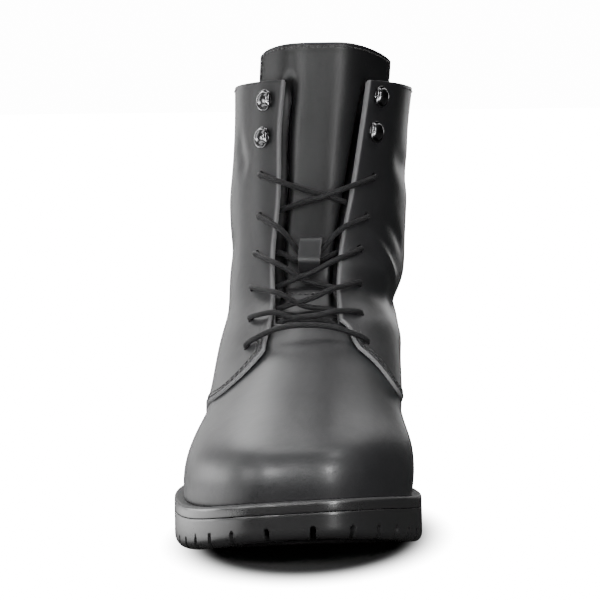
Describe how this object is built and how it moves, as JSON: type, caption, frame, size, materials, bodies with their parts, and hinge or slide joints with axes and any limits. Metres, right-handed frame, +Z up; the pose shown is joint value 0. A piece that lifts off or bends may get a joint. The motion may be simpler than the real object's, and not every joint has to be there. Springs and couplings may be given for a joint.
{
  "type": "work boot",
  "caption": "Black leather lace-up work boot with a plain toe, open collar, long tongue, punched lace holes, speed hooks and a thick lugged rubber sole; right foot.",
  "frame": {"origin": "on the floor, under the centre of the sole's outline", "axes": "+Z up; the toe points to -Y and the heel to +Y; +X is the medial side of this right boot"},
  "size_m": [0.1124, 0.304, 0.2223],
  "materials": {
    "leather": "smooth black leather with a satin polish",
    "rubber": "matte black moulded rubber",
    "insole": "dark woven lining over foam",
    "lace": "round braided black lace, waxed",
    "hook_metal": "polished dark nickel"
  },
  "bodies": {
    "root": {"outsole": "rubber", "midsole": "rubber", "insole": "insole", "upper": "leather", "tongue": "leather", "lace_keeper": "leather", "lace_bar": "lace", "lace_cross_1": "lace", "lace_cross_2": "lace", "lace_cross_3": "lace", "lace_cross_4": "lace", "lace_cross_5": "lace", "hook_lateral_low": "hook_metal", "hook_lateral_high": "hook_metal", "hook_medial_low": "hook_metal", "hook_medial_high": "hook_metal"}
  },
  "joints": []
}
